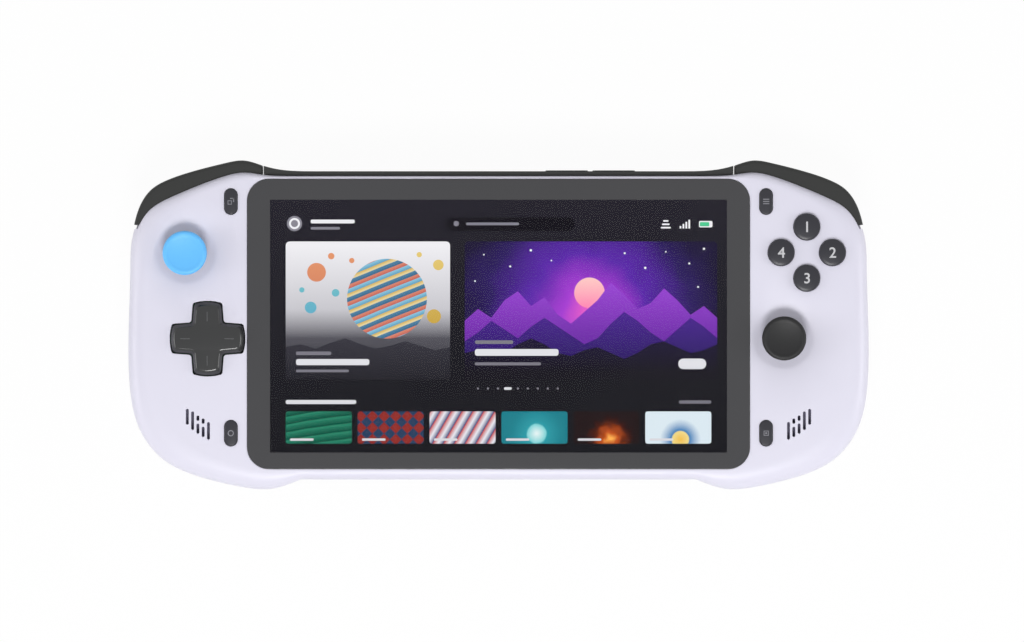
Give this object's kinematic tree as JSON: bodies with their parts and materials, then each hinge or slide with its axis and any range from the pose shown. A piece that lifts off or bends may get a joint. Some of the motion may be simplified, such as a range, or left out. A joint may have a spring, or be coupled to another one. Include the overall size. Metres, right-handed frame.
{
  "type": "handheld game console",
  "caption": "Pale handheld game console with a wide screen between two grips, thumb sticks, cross pad, round buttons, shoulder buttons and triggers.",
  "frame": {"origin": "on the surface under the console, below the middle of its outline, as it lies on its back with the screen up", "axes": "+X to the player's right along the long side, +Y to the top edge with the shoulder buttons, +Z out of the screen"},
  "size_m": [0.2534, 0.1124, 0.0347],
  "materials": {
    "case_white": "moulded, fine satin",
    "trim_black": "moulded, satin",
    "screen_glass": "polished, black printed border",
    "display": "liquid crystal panel",
    "stick_blue": "satin moulded",
    "stick_black": "satin moulded",
    "button_black": "semi-gloss",
    "dpad_black": "semi-gloss",
    "silicone_grey": "matte",
    "circuit_board": "solder mask",
    "steel": "plated",
    "aluminium": "rolled",
    "inner_black": "moulded, matte",
    "battery_wrap": "film wrap",
    "foam": "foam",
    "mesh": "woven",
    "ribbon_amber": "polyimide film"
  },
  "bodies": {
    "root": {"front_shell": "case_white", "rear_shell": "case_white", "top_trim": "trim_black", "display_glass": "screen_glass", "display_gasket": "foam", "display_panel": "display", "mid_frame": "aluminium", "main_board": "circuit_board", "processor": "inner_black", "processor_shield": "steel", "heat_spreader": "aluminium", "battery": "battery_wrap", "usb_port": "steel", "headphone_jack": "inner_black", "display_ribbon": "ribbon_amber", "control_ribbons": "ribbon_amber", "left_control_board": "circuit_board", "right_control_board": "circuit_board", "board_screws": "steel", "case_screws": "steel", "top_key_board": "circuit_board", "bumper_switches": "inner_black", "dpad_base": "inner_black", "dpad_pad": "silicone_grey", "face_button_pad": "silicone_grey", "small_button_pads": "silicone_grey", "left_speaker": "inner_black", "right_speaker": "inner_black", "left_rumble_motor": "steel", "right_rumble_motor": "steel", "speaker_meshes": "mesh", "bumper_pins": "steel", "trigger_pins": "steel", "left_stick_housing": "inner_black", "right_stick_housing": "inner_black"},
    "volume_down": {"volume_down": "trim_black"},
    "volume_up": {"volume_up": "trim_black"},
    "power_slider": {"power_slider": "trim_black"},
    "dpad_pivot": {"dpad_pivot": "inner_black"},
    "dpad_cross": {"dpad_cross": "dpad_black"},
    "right_bumper": {"right_bumper": "trim_black"},
    "left_bumper": {"left_bumper": "trim_black"},
    "right_trigger": {"right_trigger": "trim_black"},
    "left_trigger": {"left_trigger": "trim_black"},
    "button_north": {"button_north": "button_black"},
    "button_south": {"button_south": "button_black"},
    "button_east": {"button_east": "button_black"},
    "button_west": {"button_west": "button_black"},
    "system_button": {"system_button": "button_black"},
    "home_button": {"home_button": "button_black"},
    "view_button": {"view_button": "button_black"},
    "menu_button": {"menu_button": "button_black"},
    "left_stick_cradle": {"left_stick_cradle": "inner_black"},
    "left_stick_yoke": {"left_stick_yoke": "inner_black"},
    "left_stick_post": {"left_stick_post": "steel"},
    "left_stick_cap": {"left_stick_cap": "stick_blue"},
    "right_stick_cradle": {"right_stick_cradle": "inner_black"},
    "right_stick_yoke": {"right_stick_yoke": "inner_black"},
    "right_stick_post": {"right_stick_post": "steel"},
    "right_stick_cap": {"right_stick_cap": "stick_black"}
  },
  "joints": [
    {"name": "left_stick_tilt_x", "type": "hinge", "parent": "root", "child": "left_stick_cradle", "pos_m": [-0.1065, 0.0245, 0.0165], "axis": [1, 0, 0], "range_deg": [-14, 14], "stiffness_Nm_per_rad": 0.006},
    {"name": "left_stick_tilt_y", "type": "hinge", "parent": "left_stick_cradle", "child": "left_stick_post", "pos_m": [-0.1065, 0.0245, 0.0165], "axis": [0, 1, 0], "range_deg": [-14, 14], "stiffness_Nm_per_rad": 0.006},
    {"name": "left_stick_click", "type": "slide", "parent": "left_stick_post", "child": "left_stick_cap", "axis": [0, 0, -1], "range_m": [0, 0.0004], "stiffness_N_per_m": 400, "springref_m": -0.0004},
    {"name": "left_stick_yoke_turn", "type": "hinge", "parent": "root", "child": "left_stick_yoke", "pos_m": [-0.1065, 0.0245, 0.0165], "axis": [0, 1, 0], "range_deg": [-14, 14]},
    {"name": "right_stick_tilt_x", "type": "hinge", "parent": "root", "child": "right_stick_cradle", "pos_m": [0.097, -0.0045, 0.0165], "axis": [1, 0, 0], "range_deg": [-14, 14], "stiffness_Nm_per_rad": 0.006},
    {"name": "right_stick_tilt_y", "type": "hinge", "parent": "right_stick_cradle", "child": "right_stick_post", "pos_m": [0.097, -0.0045, 0.0165], "axis": [0, 1, 0], "range_deg": [-14, 14], "stiffness_Nm_per_rad": 0.006},
    {"name": "right_stick_click", "type": "slide", "parent": "right_stick_post", "child": "right_stick_cap", "axis": [0, 0, -1], "range_m": [0, 0.0004], "stiffness_N_per_m": 400, "springref_m": -0.0004},
    {"name": "right_stick_yoke_turn", "type": "hinge", "parent": "root", "child": "right_stick_yoke", "pos_m": [0.097, -0.0045, 0.0165], "axis": [0, 1, 0], "range_deg": [-14, 14]},
    {"name": "dpad_tilt_x", "type": "hinge", "parent": "root", "child": "dpad_pivot", "pos_m": [-0.0991, -0.0046, 0.0266], "axis": [1, 0, 0], "range_deg": [-4.5, 4.5], "stiffness_Nm_per_rad": 0.012},
    {"name": "dpad_tilt_y", "type": "hinge", "parent": "dpad_pivot", "child": "dpad_cross", "pos_m": [-0.0991, -0.0046, 0.0266], "axis": [0, 1, 0], "range_deg": [-4.5, 4.5], "stiffness_Nm_per_rad": 0.012},
    {"name": "button_north_press", "type": "slide", "parent": "root", "child": "button_north", "axis": [0, 0, -1], "range_m": [0, 0.001], "stiffness_N_per_m": 250, "springref_m": -0.0005},
    {"name": "button_south_press", "type": "slide", "parent": "root", "child": "button_south", "axis": [0, 0, -1], "range_m": [0, 0.001], "stiffness_N_per_m": 250, "springref_m": -0.0005},
    {"name": "button_east_press", "type": "slide", "parent": "root", "child": "button_east", "axis": [0, 0, -1], "range_m": [0, 0.001], "stiffness_N_per_m": 250, "springref_m": -0.0005},
    {"name": "button_west_press", "type": "slide", "parent": "root", "child": "button_west", "axis": [0, 0, -1], "range_m": [0, 0.001], "stiffness_N_per_m": 250, "springref_m": -0.0005},
    {"name": "system_button_press", "type": "slide", "parent": "root", "child": "system_button", "axis": [0, 0, -1], "range_m": [0, 0.0005], "stiffness_N_per_m": 300, "springref_m": -0.0005},
    {"name": "home_button_press", "type": "slide", "parent": "root", "child": "home_button", "axis": [0, 0, -1], "range_m": [0, 0.0005], "stiffness_N_per_m": 300, "springref_m": -0.0005},
    {"name": "view_button_press", "type": "slide", "parent": "root", "child": "view_button", "axis": [0, 0, -1], "range_m": [0, 0.0005], "stiffness_N_per_m": 300, "springref_m": -0.0005},
    {"name": "menu_button_press", "type": "slide", "parent": "root", "child": "menu_button", "axis": [0, 0, -1], "range_m": [0, 0.0005], "stiffness_N_per_m": 300, "springref_m": -0.0005},
    {"name": "volume_up_press", "type": "slide", "parent": "root", "child": "volume_up", "axis": [0, -1, 0], "range_m": [0, 0.00035], "stiffness_N_per_m": 300, "springref_m": -0.0004},
    {"name": "volume_down_press", "type": "slide", "parent": "root", "child": "volume_down", "axis": [0, -1, 0], "range_m": [0, 0.00035], "stiffness_N_per_m": 300, "springref_m": -0.0004},
    {"name": "power_slide", "type": "slide", "parent": "root", "child": "power_slider", "axis": [1, 0, 0], "range_m": [0, 0.002], "stiffness_N_per_m": 80, "springref_m": -0.001},
    {"name": "left_bumper_press", "type": "hinge", "parent": "root", "child": "left_bumper", "pos_m": [-0.0832, 0.0507, 0.02], "axis": [0, 0, 1], "range_deg": [0, 1.3], "stiffness_Nm_per_rad": 0.15, "springref_deg": -1.15},
    {"name": "left_trigger_pull", "type": "hinge", "parent": "root", "child": "left_trigger", "pos_m": [-0.09675, 0.0425, 0.0116], "axis": [-1, 0, 0], "range_deg": [0, 14], "stiffness_Nm_per_rad": 0.012, "springref_deg": -5.73},
    {"name": "right_bumper_press", "type": "hinge", "parent": "root", "child": "right_bumper", "pos_m": [0.0832, 0.0507, 0.02], "axis": [0, 0, -1], "range_deg": [0, 1.3], "stiffness_Nm_per_rad": 0.15, "springref_deg": -1.15},
    {"name": "right_trigger_pull", "type": "hinge", "parent": "root", "child": "right_trigger", "pos_m": [0.09675, 0.0425, 0.0116], "axis": [-1, 0, 0], "range_deg": [0, 14], "stiffness_Nm_per_rad": 0.012, "springref_deg": -5.73}
  ],
  "couplings": [
    {"joint": "left_stick_yoke_turn", "follows": "left_stick_tilt_y", "ratio": 1},
    {"joint": "right_stick_yoke_turn", "follows": "right_stick_tilt_y", "ratio": 1}
  ]
}
